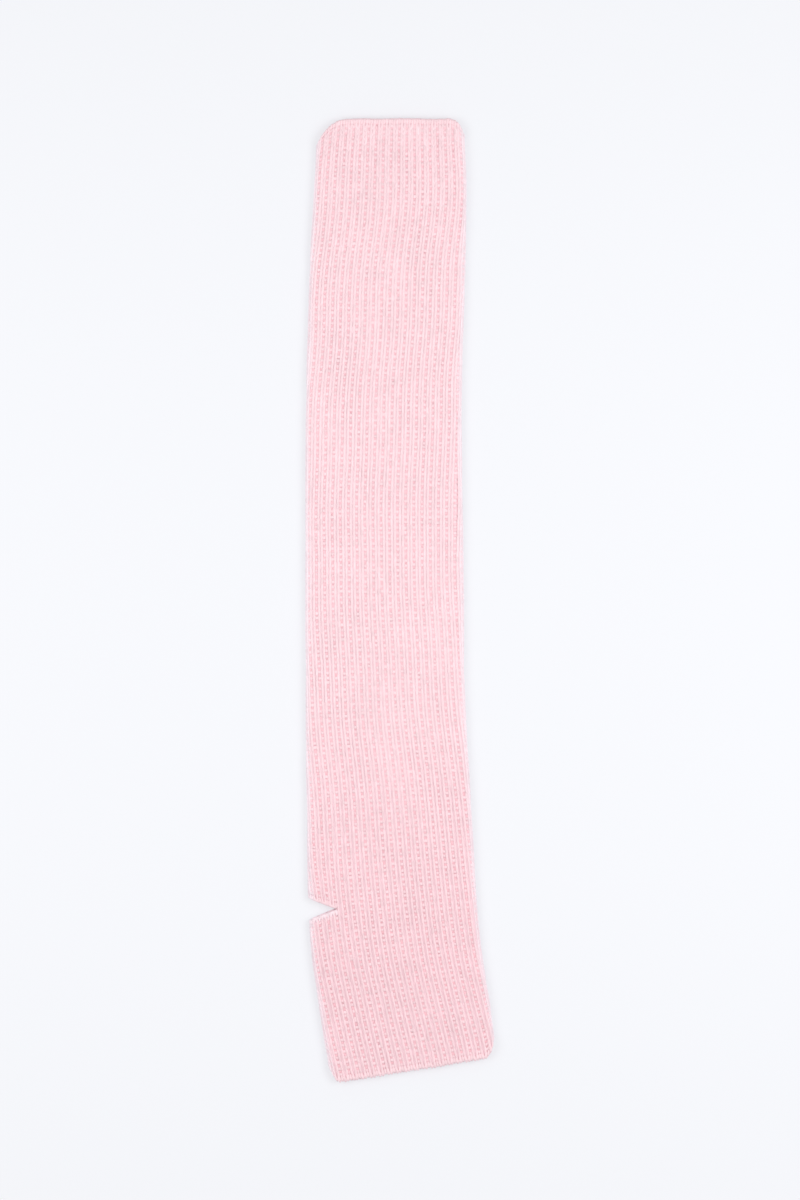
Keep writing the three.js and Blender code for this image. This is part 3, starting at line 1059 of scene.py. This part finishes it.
class LEGWARMER_OT_stage(bpy.types.Operator):
    """Sets the studio: a pale floor, soft light from all round, and a camera straight above"""

    bl_idname = "leg_warmer.stage"
    bl_label = "Studio"

    def execute(self, context):
        scene = context.scene
        bpy.ops.object.select_all(action="DESELECT")
        bpy.ops.mesh.primitive_plane_add(size=FLOOR_SIZE)
        floor = context.object
        floor.name = "floor"
        floor.data.materials.append(lit_board(scene.leg_warmer_colours))

        world = bpy.data.worlds.new("soft_studio_light")
        world.use_nodes = True
        sky = world.node_tree.nodes["Background"]
        sky.inputs["Color"].default_value = (*linear("#ffffff"), 1)
        sky.inputs["Strength"].default_value = SKY_STRENGTH
        scene.world = world
        for box in SOFTBOXES:
            light = bpy.data.lights.new(box.name, "AREA")
            light.shape, light.size, light.energy = "SQUARE", box.size, box.watts
            softbox = bpy.data.objects.new(box.name, light)
            softbox.location = box.place
            softbox.rotation_euler = (-Vector(box.place)).to_track_quat("-Z", "Y").to_euler()
            scene.collection.objects.link(softbox)

        camera = bpy.data.objects.new("camera", bpy.data.cameras.new("camera"))
        camera.data.lens, camera.data.sensor_width = LENS, SENSOR
        camera.data.clip_end = CLIP_END
        camera.location = (0, 0, SEEN * LENS / SENSOR)
        scene.collection.objects.link(camera)
        scene.camera = camera
        scene.view_settings.view_transform = "Standard"
        return {"FINISHED"}


class LEGWARMER_PT_sidebar(bpy.types.Panel):
    """Lists the steps of making the leg warmer"""

    bl_label = "Leg warmer"
    bl_idname = "LEGWARMER_PT_sidebar"
    bl_space_type = "VIEW_3D"
    bl_region_type = "UI"
    bl_category = "Leg warmer"

    def draw(self, context):
        for group in (context.scene.leg_warmer_sizes, context.scene.leg_warmer_colours):
            for name in group.__annotations__:
                self.layout.prop(group, name)
        for step in STEPS:
            self.layout.operator(step.bl_idname)


STEPS = (
    LEGWARMER_OT_stage,
    LEGWARMER_OT_ground,
    LEGWARMER_OT_stitches,
    LEGWARMER_OT_purls,
    LEGWARMER_OT_edges,
    LEGWARMER_OT_declare,
)
CLASSES = (LegWarmerSizes, LegWarmerColours, *STEPS, LEGWARMER_PT_sidebar)


def register():
    """Makes the steps, the sizes and the colours known to Blender."""
    for each in CLASSES:
        bpy.utils.register_class(each)
    bpy.types.Scene.leg_warmer_sizes = PointerProperty(type=LegWarmerSizes)
    bpy.types.Scene.leg_warmer_colours = PointerProperty(type=LegWarmerColours)


def unregister():
    """Takes them away again."""
    del bpy.types.Scene.leg_warmer_colours
    del bpy.types.Scene.leg_warmer_sizes
    for each in reversed(CLASSES):
        bpy.utils.unregister_class(each)


def main():
    """Makes the leg warmer in its studio."""
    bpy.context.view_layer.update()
    register()
    bpy.ops.leg_warmer.stage()
    bpy.ops.leg_warmer.ground()
    bpy.ops.leg_warmer.stitches()
    bpy.ops.leg_warmer.purls()
    bpy.ops.leg_warmer.edges()
    bpy.ops.leg_warmer.declare()


if __name__ == "__main__":
    main()
